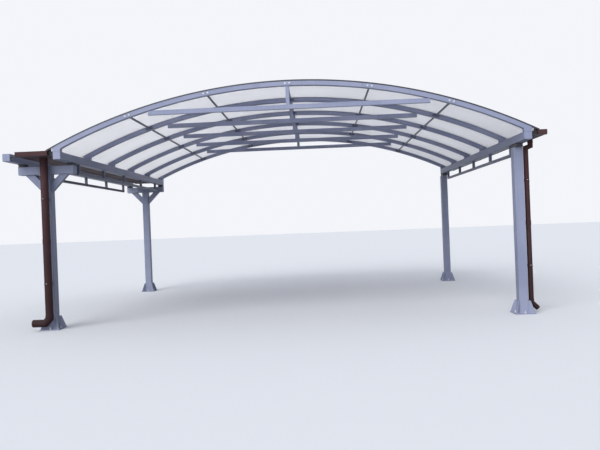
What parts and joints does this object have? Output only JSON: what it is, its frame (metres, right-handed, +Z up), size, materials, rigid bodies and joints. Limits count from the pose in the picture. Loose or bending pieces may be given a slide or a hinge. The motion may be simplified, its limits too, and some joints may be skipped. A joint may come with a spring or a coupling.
{
  "type": "double carport",
  "caption": "Open double carport: bent tube arches on steel posts carry a curved translucent roof, with gutters and downpipes.",
  "frame": {"origin": "on the floor, under the middle of the whole carport's box", "axes": "+Z up, -Y towards the front, +X to the right seen from the front and along the span"},
  "size_m": [6.946, 5.14, 3.134],
  "materials": {
    "frame_paint": "satin",
    "packer_steel": "satin",
    "roof_sheet": "satin",
    "cover_strip": "satin",
    "gutter_brown": "satin",
    "bracket_steel": "satin"
  },
  "bodies": {
    "root": {"post_right_front": "frame_paint", "post_right_rear": "frame_paint", "post_left_front": "frame_paint", "post_left_rear": "frame_paint", "t_head_front": "frame_paint", "t_head_rear": "frame_paint", "beam_packers": "packer_steel", "eaves_beam_right": "frame_paint", "ladder_right": "frame_paint", "eaves_beam_left": "frame_paint", "ladder_left": "frame_paint", "eaves_beam_party": "frame_paint", "ladder_party": "frame_paint", "arch_1": "frame_paint", "arch_2": "frame_paint", "arch_3": "frame_paint", "arch_4": "frame_paint", "arch_5": "frame_paint", "arch_6": "frame_paint", "tie_1": "frame_paint", "purlin_row_1": "frame_paint", "roof_sheet_1": "roof_sheet", "tie_2": "frame_paint", "purlin_row_2": "frame_paint", "roof_sheet_2": "roof_sheet", "tie_3": "frame_paint", "purlin_row_3": "frame_paint", "roof_sheet_3": "roof_sheet", "tie_4": "frame_paint", "purlin_row_4": "frame_paint", "roof_sheet_4": "roof_sheet", "tie_5": "frame_paint", "purlin_row_5": "frame_paint", "roof_sheet_5": "roof_sheet", "cover_strip_1": "cover_strip", "cover_strip_2": "cover_strip", "cover_strip_3": "cover_strip", "cover_strip_4": "cover_strip", "cover_strip_5": "cover_strip", "cover_strip_6": "cover_strip", "gutter_right": "gutter_brown", "gutter_valley": "gutter_brown", "downpipe_right": "gutter_brown", "downpipe_valley": "gutter_brown", "gutter_brackets": "bracket_steel"}
  },
  "joints": []
}
